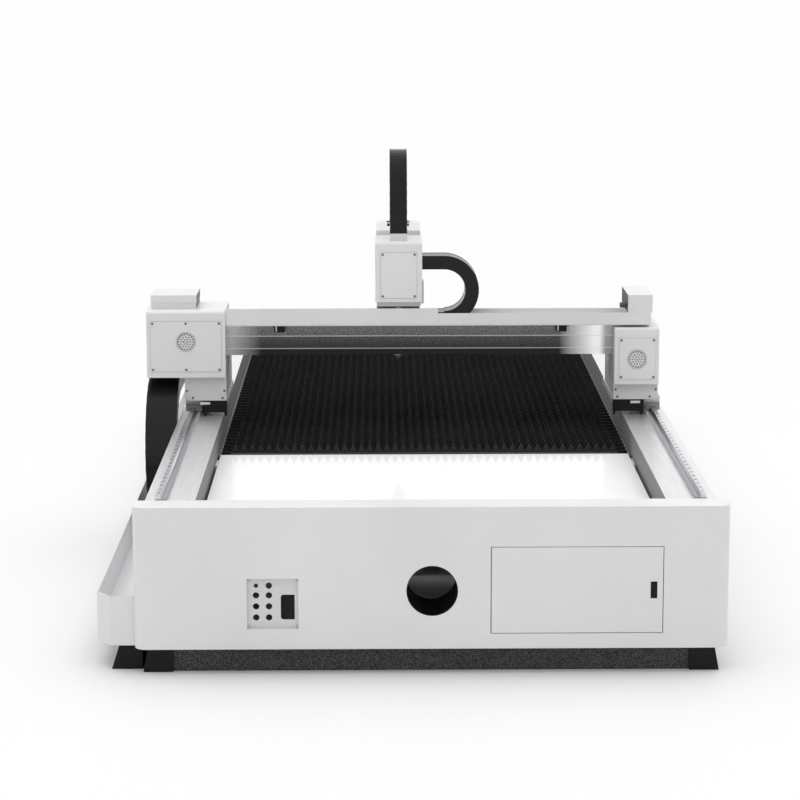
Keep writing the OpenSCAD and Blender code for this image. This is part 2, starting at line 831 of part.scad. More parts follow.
// Cover plate on a housing's front, with a raised ring round a pattern of vent holes
module vent_cover(plate, vent) {
    ring_r = 42;
    ring_rise = 1.5;
    hole_r = 3.4;
    spacing = 10.5;
    translate([0, gantry_y, 0]) difference() {
        union() {
            block([plate[0], -cover_sheet, plate[1]], [plate[2], 0, plate[3]]);
            translate([vent[0], 0, vent[1]]) rotate([90, 0, 0]) difference() {
                cylinder(h = cover_sheet + ring_rise, r = ring_r);
                translate([0, 0, cover_sheet]) cylinder(h = ring_rise + cut, r = ring_r - 4);
            }
        }
        for (k = [0:3], i = [0:max(6 * k - 1, 0)])
            translate([vent[0] + k * spacing * cos(60 * i / max(k, 1)), cut,
                    vent[1] + k * spacing * sin(60 * i / max(k, 1))]) rotate([90, 0, 0])
                cylinder(h = cover_sheet + 2 * cut, r = hole_r);
    }
}

module vent_covers() {
    color(white) {
        vent_cover(left_cover_box, [left_inner - left_housing_width / 2, left_housing_z + 155]);
        vent_cover(right_cover_box, [right_inner + right_housing_width / 2 + 2, right_housing_z + 109]);
    }
}

// Round screw heads on the covers and on the feet's front plates
module cover_screws() {
    head_r = 5;
    head = 2.5;
    inset = 9;
    middle = (left_cover_box[0] + left_cover_box[2]) / 2;
    on_covers = concat(
        [for (x = [left_cover_box[0] + inset, middle, left_cover_box[2] - inset],
            z = [left_cover_box[1] + inset, left_cover_box[3] - inset]) [x, z]],
        [for (x = [right_cover_box[0] + inset, right_cover_box[2] - inset],
            z = [right_cover_box[1] + inset, right_cover_box[3] - inset]) [x, z]]);
    on_feet = [for (edges = [[left_inner, -rail_x - block_half], [right_inner, right_inner + right_housing_width]])
        for (row = [[9, 9, foot_floor + 38], [17, 34, foot_floor + 7]])
            for (end = [0, 1]) [edges[end] + sign(edges[1 - end] - edges[end]) * row[end], row[2]]];
    color(bright) {
        for (p = on_covers) translate([p[0], gantry_y - cover_sheet, p[1]]) rotate([90, 0, 0])
            cylinder(h = head, r = head_r);
        for (p = on_feet) translate([p[0], foot_y, p[1]]) rotate([90, 0, 0]) cylinder(h = head, r = head_r);
    }
}

// Flat control box on the left housing: a body and a wider lid, open below
module left_top_box() {
    x0 = left_inner - left_housing_width + 15;
    z0 = left_housing_z + left_housing_height;
    y0 = gantry_y + 74;
    size = [195, housing_depth - 76];
    step = 2;
    seam = 26;
    height = 58;
    wall = step + housing_sheet;
    color(white) difference() {
        union() {
            block([x0 + step, y0 + step, z0], [x0 + size[0] - step, y0 + size[1] - step, z0 + seam + cut]);
            block([x0, y0, z0 + seam], [x0 + size[0], y0 + size[1], z0 + height]);
        }
        block([x0 + wall, y0 + wall, z0 - cut],
            [x0 + size[0] - wall, y0 + size[1] - wall, z0 + height - housing_sheet]);
    }
}

// Side outline of the right top box in Y and Z, over the trough's end and down to the housing
module top_box_outline(inset) {
    low = right_housing_z + right_housing_height;
    top = low + top_box_height - inset;
    front = trough_y + inset;
    back = gantry_y + housing_depth - 2 - inset;
    middle = trough_y + trough_depth + inset;
    open = inset > 0 ? cut : 0;
    polygon([[front, beam_top + trough_lip + inset], [middle, beam_top + trough_lip + inset], [middle, low - open],
        [back, low - open], [back, top], [front, top]]);
}

// Tall box at the right end, standing on the right housing and on the trough's end
module right_top_box() {
    x0 = right_inner + 56;
    width = 104;
    color(white) difference() {
        along_x(x0, width) top_box_outline(0);
        along_x(x0 + housing_sheet, width - 2 * housing_sheet) top_box_outline(housing_sheet);
    }
}

// Black gland on the left side of the right top box
module cable_gland() {
    r = 11;
    x = right_inner + 56;
    z = beam_top + 78;
    color(black) translate([x, trough_y + 60, z]) rotate([0, -90, 0]) {
        cylinder(h = 10, r = r + 3, $fn = 6);
        cylinder(h = 30, r = r);
    }
}

// Four slide blocks on the bed rails
module slide_blocks() {
    fit = 0.4;
    color(steel) for (side = [0, 1], y = block_stations) mirror([side, 0, 0]) difference() {
        block([rail_x - block_half, y, block_base], [rail_x + block_half, y + block_length, block_top]);
        block([rail_x - rail_width / 2 - fit, y - cut, block_base - cut],
            [rail_x + rail_width / 2 + fit, y + block_length + cut, bed_top + rail_height + fit]);
    }
}

// End seals on the slide blocks
module rail_wipers() {
    thick = 12;
    fit = 0.4;
    half = rail_width / 2 + fit;
    color(dark) for (side = [0, 1], y = block_stations, end = [-thick, block_length])
        mirror([side, 0, 0]) translate([rail_x, y + end, 0]) difference() {
            block([-block_half + 1, 0, block_base], [block_half - 1, thick, block_top - 3]);
            block([-half, -cut, block_base - cut], [half, thick + cut, bed_top + rail_height + fit]);
        }
}

// Black skirts under the front of each foot, with two short legs
module foot_skirts() {
    low = bed_top + 16;
    leg = 10;
    leg_low = bed_top + 2;
    outer = bed_pinion_x + 16;
    color(black) for (side = [0, 1]) {
        inner = side == 1 ? foot_side : right_inner;
        mirror([side, 0, 0]) {
            block([inner, foot_y + 4, low], [outer, foot_y + skirt_depth, foot_floor - 5]);
            for (x = [inner, outer - leg - 6])
                block([x, foot_y + 4, leg_low], [x + leg, foot_y + 14, low + cut]);
        }
    }
}

// Reducers and motors that stand on the feet, inside the housings
module bed_motors() {
    nose_r = 32;
    motor = 80;
    flange = 90;
    reducer = 60;
    body = 130;
    color(dark) for (side = [0, 1]) mirror([side, 0, 0]) translate([bed_pinion_x, bed_motor_y, 0]) {
        translate([0, 0, block_top + 1]) cylinder(h = foot_base_sheet, r = nose_r);
        translate([-flange / 2, -flange / 2, foot_floor]) cube([flange, flange, reducer]);
        translate([-motor / 2, -motor / 2, foot_floor + reducer]) linear_extrude(body)
            round_rect([motor, motor], 8);
    }
}

// Pinion with its shaft, hanging below a bed motor
module bed_pinion() {
    shaft_r = 11;
    translate([bed_pinion_x, bed_motor_y, bed_top + slip]) {
        gear(pinion_teeth, rack_height - slip);
        cylinder(h = block_top + 1 - bed_top - slip, r = shaft_r);
    }
}

module left_pinion() {
    color(bright) mirror([1, 0, 0]) bed_pinion();
}

module right_pinion() {
    color(bright) bed_pinion();
}

// Two black proximity sensors on brackets under the trough
module limit_sensors() {
    body = [46, 22, 24];
    inset = [229, 225];
    color(black) for (x = [left_inner + inset[0], right_inner - inset[1]]) {
        translate([x - body[0] / 2, trough_y + 32, beam_top - 8 - body[2]]) cube(body);
        translate([x - body[0] / 2 - 9, trough_y + 26, beam_top - 8]) cube([body[0] + 18, 34, 8]);
    }
}

// Two rails on the back of the gantry beam
module cross_rails() {
    x0 = left_inner + foot_plate + 20;
    x1 = right_inner - foot_plate - 20;
    waist = 3;
    s = cross_rail_size;
    color(bright) for (z = cross_rail_z) along_x(x0, x1 - x0) translate([beam_back, z])
        polygon([[0, -s / 2], [s * 0.45, -s / 2], [s * 0.6, -s / 2 + waist], [s * 0.8, -s / 2 + waist], [s, -s / 2],
            [s, s / 2], [s * 0.8, s / 2 - waist], [s * 0.6, s / 2 - waist], [s * 0.45, s / 2], [0, s / 2]]);
}

// Rack along the top of the beam, its teeth towards the trough
module cross_rack() {
    x0 = left_inner + foot_plate + 20;
    x1 = right_inner - foot_plate - 20;
    tips = cross_pinion_y + cross_gear_r - gear_module;
    color(steel) translate([carriage_mid, tips, beam_top]) linear_extrude(rack_height)
        rack_outline(x0 - carriage_mid, x1 - carriage_mid, rack_width);
}

// Angle that carries the bed chain's moving end on the left foot
module chain_bracket() {
    sheet = 5;
    y0 = bed_chain_end - 70;
    under = bed_chain_high - bed_chain_height / 2;
    outer = rail_x + 30;
    color(pale) mirror([1, 0, 0]) {
        block([outer - 40, y0, foot_floor], [outer, y0 + 70, foot_floor + sheet]);
        block([outer - sheet, y0, foot_floor], [outer, y0 + 70, under]);
        block([outer - sheet, y0, under - sheet], [-bed_chain_x + bed_chain_width / 2, y0 + 70, under]);
    }
}

// Side outline of a straight link between u0 and u1, between heights v0 and v1
function link_box(u0, u1, v0, v1) = [[u0, v0], [u1, v0], [u1, v1], [u0, v1]];

// Side outline of a link round the bend between angles a0 and a1, between radii r0 and r1
function link_wedge(a0, a1, r0, r1) = [[r0 * cos(a0), r0 * sin(a0)], [r1 * cos(a0), r1 * sin(a0)],
    [r1 * cos(a1), r1 * sin(a1)], [r0 * cos(a1), r0 * sin(a1)]];

// One hollow link: its outer outline across the width and the passage for cables
module link(outer, passage, width) {
    difference() {
        linear_extrude(width, center = true) polygon(outer);
        linear_extrude(width - 2 * chain_wall, center = true) polygon(passage);
    }
}

// Straight run of links from u0 to u1 at height v
module link_run(u0, u1, v, height, width, pitch) {
    count = max(1, round((u1 - u0) / pitch));
    step = (u1 - u0) / count;
    half = height / 2;
    inner = half - chain_wall;
    for (i = [0:count - 1]) link(
        link_box(u0 + i * step + link_gap / 2, u0 + (i + 1) * step - link_gap / 2, v - half, v + half),
        link_box(u0 + i * step - cut, u0 + (i + 1) * step + cut, v - inner, v + inner), width);
}

// Drag chain in a plane: lower run to a bend centred on the origin, then the upper run back
module drag_chain(lower, upper, bend, height, width, pitch) {
    half = height / 2;
    inner = half - chain_wall;
    count = round(PI * bend / pitch);
    step = 180 / count;
    gap = link_gap / (bend - half) * 90 / PI;
    link_run(-lower, 0, -bend, height, width, pitch);
    for (i = [0:count - 1]) link(
        link_wedge(-90 + i * step + gap, -90 + (i + 1) * step - gap, bend - half, bend + half),
        link_wedge(-90 + i * step - 1, -90 + (i + 1) * step + 1, bend - inner, bend + inner), width);
    link_run(-upper, 0, bend, height, width, pitch);
}

// Chain between the tray and the gantry, bending towards the services end
module bed_chain() {
    color(black) translate([bed_chain_x, bed_bend_y, (bed_chain_low + bed_chain_high) / 2]) rotate([90, 0, -90])
        drag_chain(bed_chain_fixed - bed_bend_y, bed_chain_end - bed_bend_y, bed_chain_bend, bed_chain_height,
            bed_chain_width, 90);
}

// Chain between the trough and the carriage, bending towards the right
module cross_chain() {
    color(black) translate([cross_bend_x, cross_chain_y, cross_chain_low + cross_chain_bend]) rotate([90, 0, 0])
        drag_chain(cross_bend_x - cross_chain_fixed, cross_bend_x - cross_chain_end, cross_chain_bend,
            cross_chain_height, cross_chain_width, 60);
}

// Chain between the motor housing and the head, bending upwards
module head_chain() {
    color(black) translate([carriage_mid, head_near_y + head_chain_bend, head_bend_z]) rotate([0, -90, 0])
        drag_chain(head_bend_z - head_fixed_z, head_bend_z - head_end_z, head_chain_bend, head_chain_height,
            head_chain_width, 45);
}

// Carriage plate behind the beam, the bridge over the beam and the post for the cross chain's end
module carriage_frame() {
    x0 = carriage_x + 6;
    x1 = carriage_x + carriage_width - 6;
    hole_r = 34;
    post = 6;
    side_x = carriage_x + carriage_width + 7;
    post_top = cross_chain_low + 2 * cross_chain_bend - cross_chain_height / 2;
    color(steel) difference() {
        union() {
            block([x0, plate_y, plate_low], [x1, plate_back, plate_top]);
            block([x0, gantry_y + 30, bridge_bottom], [x1, plate_y + cut, bridge_top]);
            block([cross_chain_end, cross_chain_y - 40, bridge_top - cut],
                [cross_chain_end + post, cross_chain_y + 40, post_top]);
            block([cross_chain_end, cross_chain_y - 40, post_top - post],
                [cross_chain_end + 55, cross_chain_y + 40, post_top]);
            block([x1 - cut, gantry_y + 40, bridge_top - 12], [side_x, gantry_y + 120, bridge_top - cut]);
            block([side_x - 6, gantry_y + 40, bridge_top - 12], [side_x, gantry_y + 120, bridge_top + 82]);
        }
        translate([carriage_mid, cross_pinion_y, bridge_bottom - cut])
            cylinder(h = bridge_sheet + 2 * cut, r = hole_r);
    }
}

// Slide blocks between the carriage plate and the cross rails
module carriage_blocks() {
    fit = 0.4;
    length = 62;
    half = 22;
    stations = [carriage_x + 20, carriage_x + carriage_width - 20 - length];
    color(steel) for (z = cross_rail_z, x = stations) difference() {
        block([x, beam_back + 6, z - half], [x + length, plate_y, z + half]);
        block([x - cut, beam_back, z - cross_rail_size / 2 - fit],
            [x + length + cut, beam_back + cross_rail_size + fit, z + cross_rail_size / 2 + fit]);
    }
}

// White housing round the cross motor, open where the cross chain comes in
module motor_housing() {
    window = [40, 44, 62];
    z = cross_chain_low + 2 * cross_chain_bend;
    room = 5;
    half = [cross_chain_width / 2 + room, cross_chain_height / 2 + room];
    color(white) difference() {
        housing(carriage_x, carriage_width, motor_housing_depth, bridge_top, motor_housing_height, window);
        block([carriage_x + carriage_width / 2, cross_chain_y - half[0], z - half[1]],
            [carriage_x + carriage_width + cut, cross_chain_y + half[0], z + half[1]]);
    }
}

// Grey block on the motor housing that holds the vertical chain's fixed end
module chain_clamp() {
    lip = 8;
    color(pale) translate([carriage_mid, head_near_y, motor_housing_top])
        block([-head_chain_width / 2, -head_chain_height / 2 - lip, 0],
            [head_chain_width / 2, head_chain_height / 2 + lip, head_fixed_z - motor_housing_top]);
}

// Plain cover plate on the motor housing
module motor_cover() {
    color(white) block([carriage_x + 23, gantry_y - cover_sheet, bridge_top + 16],
        [carriage_x + carriage_width - 23, gantry_y, motor_housing_top - 45]);
}

// Reducer and motor of the cross axis, standing on the bridge
module cross_motor() {
    motor = 70;
    nose_r = 32;
    body = 175;
    color(dark) translate([carriage_mid, cross_pinion_y, 0]) {
        translate([0, 0, bridge_bottom]) cylinder(h = bridge_sheet, r = nose_r);
        translate([0, 0, bridge_top]) linear_extrude(body) translate([-motor / 2, -motor / 2])
            round_rect([motor, motor], 8);
    }
}

// Pinion of the cross axis with its shaft
module cross_pinion() {
    shaft_r = 8;
    color(bright) translate([carriage_mid, cross_pinion_y, cross_pinion_z]) {
        rotate([0, 0, 90]) gear(cross_teeth, rack_height - 1);
        cylinder(h = bridge_bottom - cross_pinion_z, r = shaft_r);
    }
}

// Outline of the vertical axis housing in Y and Z, reaching forward over the carriage plate, its edge sloped
module axis_outline(inset) {
    top = axis_housing_z + axis_housing_height - inset;
    back = plate_back + axis_housing_depth - inset;
    front = plate_y - 8 + inset;
    open = inset > 0 ? cut : 0;
    slope = [40, 28];
    polygon([[plate_back - open, axis_housing_z - open], [back, axis_housing_z - open], [back, top],
        [front + slope[0], top], [front, top - slope[1]], [front, plate_top + inset],
        [plate_back - open, plate_top + inset]]);
}

// White housing behind the carriage plate, open below and where the vertical chain comes in
module axis_housing() {
    x0 = carriage_x + 4;
    width = carriage_width - 8;
    top = axis_housing_z + axis_housing_height;
    mouth = [100, 66];
    y = head_near_y + 2 * head_chain_bend;
    color(white) difference() {
        along_x(x0, width) axis_outline(0);
        along_x(x0 + housing_sheet, width - 2 * housing_sheet) axis_outline(housing_sheet);
        block([carriage_mid - mouth[0] / 2, y - mouth[1] / 2, top - 2 * housing_sheet],
            [carriage_mid + mouth[0] / 2, y + mouth[1] / 2, top + cut]);
    }
}

// Motor on top of the ball screw, standing on the carriage plate's upper edge
module axis_motor() {
    size = 42;
    color(dark) translate([carriage_mid, screw_y, plate_top + housing_sheet]) {
        translate([-size / 2, -size / 2, 0]) linear_extrude(38) round_rect([size, size], 5);
    }
}

// Four guide shoes on the back of the carriage plate
module axis_shoes() {
    fit = 0.4;
    length = 70;
    half = 18;
    color(steel) for (x = [-axis_rail_x, axis_rail_x], z = [plate_low + 12, plate_low + 138])
        translate([carriage_mid + x, 0, z]) difference() {
            block([-half, plate_back, 0], [half, slide_y - 4, length]);
            block([-axis_rail_size / 2 - fit, slide_y - axis_rail_size - fit, -cut],
                [axis_rail_size / 2 + fit, slide_y, length + cut]);
        }
}

// Ball screw with its coupling, on the carriage plate's centre line
module ball_screw() {
    coupling = 30;
    color(bright) translate([carriage_mid, screw_y, 0]) {
        translate([0, 0, screw_low]) cylinder(h = plate_top - screw_low, d = screw_d);
        translate([0, 0, plate_top - coupling]) cylinder(h = coupling + housing_sheet, d = slide_gap - 4);
    }
}

// Slide plate with two rails, the ball nut and the arm for the chain's moving end
module head_slide() {
    half = carriage_width / 2 - 25;
    nut = [44, slide_gap - 2, 50];
    nut_z = slide_high - 200;
    arm = [84, head_near_y + 2 * head_chain_bend - head_chain_height / 2 - slide_back];
    arm_z = slide_high - 60;
    color(steel) difference() {
        union() {
            block([carriage_mid - half, slide_y, slide_low], [carriage_mid + half, slide_back, slide_high]);
            for (x = [-axis_rail_x, axis_rail_x])
                block([carriage_mid + x - axis_rail_size / 2, slide_y - axis_rail_size, slide_low],
                    [carriage_mid + x + axis_rail_size / 2, slide_y + cut, slide_high]);
            block([carriage_mid - nut[0] / 2, plate_back + 2, nut_z],
                [carriage_mid + nut[0] / 2, slide_y + cut, nut_z + nut[2]]);
            block([carriage_mid - arm[0] / 2, slide_back - cut, arm_z],
                [carriage_mid + arm[0] / 2, slide_back + arm[1], head_end_z]);
        }
        translate([carriage_mid, screw_y, slide_low - cut])
            cylinder(h = slide_high - slide_low, d = screw_d + 2 * run_fit);
    }
}

// Cutting head: optics block with a window drawer, the collimator on top and the round lower barrel
module cutting_head() {
    collimator_r = 32;
    plug_r = 17;
    barrel_r = 34;
    drawer = [60, 10, 34];
    color(dark) {
        translate([carriage_mid - head_width / 2, slide_back, head_low])
            cube([head_width, head_depth, head_high - head_low]);
        translate([carriage_mid - drawer[0] / 2, slide_back + head_depth, head_low + 30]) cube(drawer);
        translate([carriage_mid, slide_back + head_depth / 2, 0]) rotate_extrude()
            polygon([[0, barrel_low], [24, barrel_low], [barrel_r, barrel_low + 16], [barrel_r, head_low + cut],
                [0, head_low + cut]]);
        translate([carriage_mid, plate_back + 128, head_high - cut]) {
            cylinder(h = 130, r = collimator_r);
            cylinder(h = 190, r = plug_r);
        }
    }
}

// Nozzle with its sensor ring
module nozzle() {
    color(brass) translate([carriage_mid, slide_back + head_depth / 2, nozzle_z]) rotate_extrude()
        polygon([[1, 0], [2, 0], [7, 14], [9, 14], [14, 24], [24, 26], [24, barrel_low - nozzle_z],
            [1, barrel_low - nozzle_z]]);
}

left_side_beam();
right_side_beam();
cross_beams();
left_skid();
right_skid();
tray_skid();
plinth_strips();
services_panel();
far_panel();
exhaust_duct();
connector_plate();
deck_plate();
slat_supports();
slats();
scrap_hopper();
bed_rails();
bed_racks();
cable_tray();
bed_chain();
access_door();
door_pins();
latch_cup();
latch_paddle();
gantry_beam();
chain_trough();
left_foot();
right_foot();
left_housing();
right_housing();
vent_covers();
left_top_box();
right_top_box();
cable_gland();
slide_blocks();
rail_wipers();
foot_skirts();
bed_motors();
limit_sensors();
cross_rails();
cross_rack();
chain_bracket();
cover_screws();
cross_chain();
left_pinion();
right_pinion();
carriage_frame();
carriage_blocks();
motor_housing();
motor_cover();
chain_clamp();
cross_motor();
cross_pinion();
axis_housing();
axis_motor();
axis_shoes();
ball_screw();
head_chain();
head_slide();
cutting_head();
nozzle();
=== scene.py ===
"""Looks of an open-bed fiber laser cutting machine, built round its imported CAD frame."""
import math

import bpy
from mathutils import Matrix, Vector


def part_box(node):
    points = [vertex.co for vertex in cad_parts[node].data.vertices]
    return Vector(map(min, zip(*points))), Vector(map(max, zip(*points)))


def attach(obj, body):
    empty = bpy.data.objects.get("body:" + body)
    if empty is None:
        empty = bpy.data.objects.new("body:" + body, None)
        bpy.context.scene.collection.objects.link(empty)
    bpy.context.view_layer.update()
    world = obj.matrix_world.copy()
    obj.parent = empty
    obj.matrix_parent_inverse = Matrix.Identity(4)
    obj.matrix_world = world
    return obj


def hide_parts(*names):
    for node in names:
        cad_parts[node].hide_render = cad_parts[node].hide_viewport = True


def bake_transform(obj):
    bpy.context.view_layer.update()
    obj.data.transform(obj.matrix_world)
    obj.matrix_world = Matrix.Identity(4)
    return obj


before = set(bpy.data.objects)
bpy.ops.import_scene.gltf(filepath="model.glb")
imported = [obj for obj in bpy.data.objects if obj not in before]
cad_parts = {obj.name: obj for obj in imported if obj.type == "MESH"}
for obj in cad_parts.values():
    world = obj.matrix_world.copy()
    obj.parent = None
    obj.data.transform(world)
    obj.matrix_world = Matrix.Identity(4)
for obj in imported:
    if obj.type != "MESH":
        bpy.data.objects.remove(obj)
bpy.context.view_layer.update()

# Camera: place in metres, turns in degrees, lens, sensor and reach of its view
CAMERA_PLACE = (-0.178, -11.168, 2.611)
CAMERA_PITCH = 10.41
CAMERA_YAW = 0.43
CAMERA_ROLL = -0.12
CAMERA_LENS = 112.455
CAMERA_SENSOR = 36.0
CAMERA_REACH = 1000.0

# Light at the horizon and overhead, how late it rises between them, and the floor
SKY_LOW = 0.16
SKY_HIGH = 2.5
SKY_POWER = 1.6
FLOOR_TONE = 0.86
FLOOR_ROUGHNESS = 0.6
FLOOR_HALF = 300.0

# Drag chains: half of the gap between two links, how much lower the lower run is on its inner side,
# side plates and lids, the step between neighbouring links and the chamfer of a plate
LINK_GAP = 0.0001
LOWER_TRIM = 0.005
LINK_PLATE = 0.006
LINK_LID = 0.004
LID_INSET = 0.001
LINK_STEP = 0.0005
LINK_EDGE = 0.0003
# Height and pitch of the links, and the share of the travel that the bend makes
BED_LINK, BED_PITCH, BED_SHARE = 0.070, 0.03, 0.5
CROSS_LINK, CROSS_PITCH, CROSS_SHARE = 0.058, 0.016, 0.7
HEAD_LINK, HEAD_PITCH, HEAD_SHARE = 0.036, 0.02, 0.5
# How far the cross chain ends inside the motor housing, and heights of the vertical chain's bend and end
CROSS_END_INSET = 0.016
HEAD_BEND_Z = 1.551
HEAD_END_Z = 1.4

# Screws: radii, rise and rim of the heads, the small hexagon on top, distances from the edges of their
# plates, and the connector plate's sheet
HEAD_RADIUS, SMALL_HEAD_RADIUS = 0.005, 0.004
HEAD_RISE, HEAD_RIM = 0.0025, 0.0008
HEXAGON_SHARE, HEXAGON_RISE = 0.45, 0.0003
COVER_SCREW_INSET = 0.009
PLATE_SCREW_INSET_X = 0.018
PLATE_SCREW_INSET_Z = 0.022
PLATE_SHEET = 0.003

# Vents: radii and section of the rings, their seat behind the covers' front, the filter's radius, sides
# and two faces behind that seat, the centres above the housings' lower edges, and the right one's shift
VENT_RADII = (0.042, 0.0365)
RING_WIDTH = 0.0012
RING_RISE = 0.0017
RING_SEAT = 0.0015
FILTER_RADIUS = 0.037
FILTER_SIDES = 36
FILTER_BACK, FILTER_FRONT = 0.0045, 0.0025
LEFT_VENT_RISE = 0.155
RIGHT_VENT_RISE = 0.109
RIGHT_VENT_SHIFT = 0.002

# Painted shadow lines round the covers, and the covers' margins: left, right, lower and upper
SHADOW_LINE_WIDTH = 0.0008
SHADOW_LINE_RISE = 0.0006
LEFT_COVER_MARGINS = (0.017, 0.017, 0.026, 0.043)
RIGHT_COVER_MARGINS = (0.02, 0.014, 0.023, 0.045)

# Rim of the small plates, and tabs on the skirts: left edges, width, thickness, lower and upper edge
PLATE_RIM = 0.0006
TAB_LEFTS = (-0.955, 0.89)
TAB_WIDTH, TAB_SHEET = 0.042, 0.002
TAB_LOW, TAB_HIGH = 0.657, 0.668

# Brackets on the limit sensors: width, thickness, lower and upper inset, and how far their left edges
# lie from the sensors' outer ends
BRACKET_WIDTH, BRACKET_SHEET = 0.006, 0.0015
BRACKET_LOW, BRACKET_HIGH = 0.004, 0.003
BRACKET_LEFT, BRACKET_RIGHT = 0.016, 0.05

# Pins at the vertical chain's end: radius, rim, distance from the chain's front, height, gap and ends
PIN_RADIUS = 0.006
PIN_RIM = 0.001
PIN_INSET = 0.018
PIN_Z = 1.426
PIN_GAP = 0.0005
PIN_LEFT, PIN_RIGHT = 0.012, 0.008

# Beam face, as (place, level) points: darkening and painted groove highlights from below, painted end glints
# from the left
LOWER_DARKENING = ((0.0, 0.93), (0.185, 0.93), (0.225, 0.8), (0.585, 0.52), (0.625, 0.22), (1.0, 0.0))
GROOVE_HIGHLIGHTS = ((0.184, 0.0), (0.19, 0.8), (0.222, 0.8), (0.228, 0.0),
                (0.584, 0.0), (0.59, 1.0), (0.622, 1.0), (0.628, 0.0))
END_GLINTS = ((0.0, 0.42), (0.09, 0.0), (0.86, 0.0), (0.95, 1.0), (0.965, 1.0), (0.98, 0.3))

# Sockets of a colour mix node: factor, first and second colour, and result
MIX_FACTOR, MIX_FIRST, MIX_SECOND, MIX_RESULT = 0, 6, 7, 2

# Scales of the slow tone changes and of the metal's streaks, and the coat's roughness
PAINT_PATCHES = 1.7
METAL_PATCHES = 2.3
STREAKS = 6.0
COAT_ROUGHNESS = 0.08
# Strength and depth of the bumps of paint, metal and grainy coating
PAINT_BUMP = (0.05, 0.0004)
METAL_BUMP = (0.06, 0.0004)
GRAIN_BUMP = (0.4, 0.0015)
GRAIN_EDGE = 0.001

# Paint tones
WHITE = (0.80, 0.80, 0.81)
PALE = (0.74, 0.74, 0.75)
BLACK = (0.007, 0.007, 0.0075)

X, Y, Z = Vector((1, 0, 0)), Vector((0, 1, 0)), Vector((0, 0, 1))


class Builder:
    """Collects the faces of one mesh, drawn in a plane with axes u, v and extruded along w."""

    def __init__(self, origin, u, v, w):
        self.origin, self.u, self.v, self.w = Vector(origin), Vector(u), Vector(v), Vector(w)
        self.points, self.faces = [], []

    def place(self, u, v, w):
        """Point of the scene for a point of the drawing."""
        return self.origin + self.u * u + self.v * v + self.w * w

    def prism(self, outline, w0, w1, edge=0.0):
        """Prism over a convex counter-clockwise outline between w0 and w1, with chamfered rims."""
        inner = shrink(outline, edge) if edge else outline
        rings = [(inner, w0), (outline, w0 + edge), (outline, w1 - edge), (inner, w1)]
        if not edge:
            rings = [(outline, w0), (outline, w1)]
        count, start = len(outline), len(self.points)
        for shape, w in rings:
            self.points += [self.place(p[0], p[1], w) for p in shape]
        self.faces.append([start + i for i in reversed(range(count))])
        last = start + count * (len(rings) - 1)
        self.faces.append([last + i for i in range(count)])
        for r in range(len(rings) - 1):
            a, b = start + r * count, start + (r + 1) * count
            for i in range(count):
                j = (i + 1) % count
                self.faces.append([a + i, a + j, b + j, b + i])

    def ring(self, u, v, inner, outer, w0, w1, count=48):
        """Flat ring round (u, v) between two radii."""
        start = len(self.points)
        for w, radius in ((w0, inner), (w0, outer), (w1, outer), (w1, inner)):
            self.points += [self.place(p[0], p[1], w) for p in circle(u, v, radius, count)]
        for k in range(4):
            a, b = start + k * count, start + (k + 1) % 4 * count
            for i in range(count):
                j = (i + 1) % count
                self.faces.append([a + i, a + j, b + j, b + i])

    def object(self, name, material):
        """Object of the collected faces, flat shaded."""
        mesh = bpy.data.meshes.new(name)
        mesh.from_pydata([tuple(p) for p in self.points], [], self.faces)
        mesh.update()
        obj = bpy.data.objects.new(name, mesh)
        bpy.context.collection.objects.link(obj)
        mesh.materials.append(material)
        for face in mesh.polygons:
            face.use_smooth = False
        return obj


def shrink(outline, edge):
    """Convex counter-clockwise outline moved inwards by edge."""
    result = []
    count = len(outline)
    for i in range(count):
        a, b, c = (Vector(outline[k % count]) for k in (i - 1, i, i + 1))
        n1 = Vector((-(b - a).y, (b - a).x)).normalized()
        n2 = Vector((-(c - b).y, (c - b).x)).normalized()
        result.append(b + (n1 + n2) * (edge / (1.0 + n1.dot(n2))))
    return result


def circle(u, v, r, count=20):
    """Counter-clockwise polygon for a circle."""
    return [(u + r * math.cos(2 * math.pi * i / count), v + r * math.sin(2 * math.pi * i / count))
            for i in range(count)]


def rectangle(u0, u1, v0, v1):
    """Counter-clockwise rectangle."""
    return [(u0, v0), (u1, v0), (u1, v1), (u0, v1)]


def counter_clockwise(outline):
    """The outline, turned round if it runs clockwise."""
    area = sum(a[0] * b[1] - b[0] * a[1] for a, b in zip(outline, outline[1:] + outline[:1])) / 2
    return outline if area > 0 else outline[::-1]


# Materials

def surface(name):
    """New material with its nodes, its links and its surface node."""
    material = bpy.data.materials.new(name)
    material.use_nodes = True
    tree = material.node_tree
    return material, tree.nodes, tree.links, tree.nodes["Principled BSDF"]


def noise(nodes, links, scale, detail=4.0, stretch=None):
    """Noise over the object's own coordinates, stretched along an axis when asked."""
    place = nodes.new("ShaderNodeTexCoord")
    texture = nodes.new("ShaderNodeTexNoise")
    texture.inputs["Scale"].default_value = scale
    texture.inputs["Detail"].default_value = detail
    if stretch:
        mapping = nodes.new("ShaderNodeMapping")
        mapping.inputs["Scale"].default_value = stretch
        links.new(place.outputs["Object"], mapping.inputs["Vector"])
        links.new(mapping.outputs["Vector"], texture.inputs["Vector"])
    else:
        links.new(place.outputs["Object"], texture.inputs["Vector"])
    return texture


def ramp(nodes, links, source, low, high, start=0.35, end=0.65):
    """Value that runs from low to high while the source runs from start to end."""
    node = nodes.new("ShaderNodeMapRange")
    node.inputs["From Min"].default_value = start
    node.inputs["From Max"].default_value = end
    node.inputs["To Min"].default_value = low
    node.inputs["To Max"].default_value = high
    links.new(source, node.inputs["Value"])
    return node.outputs["Result"]


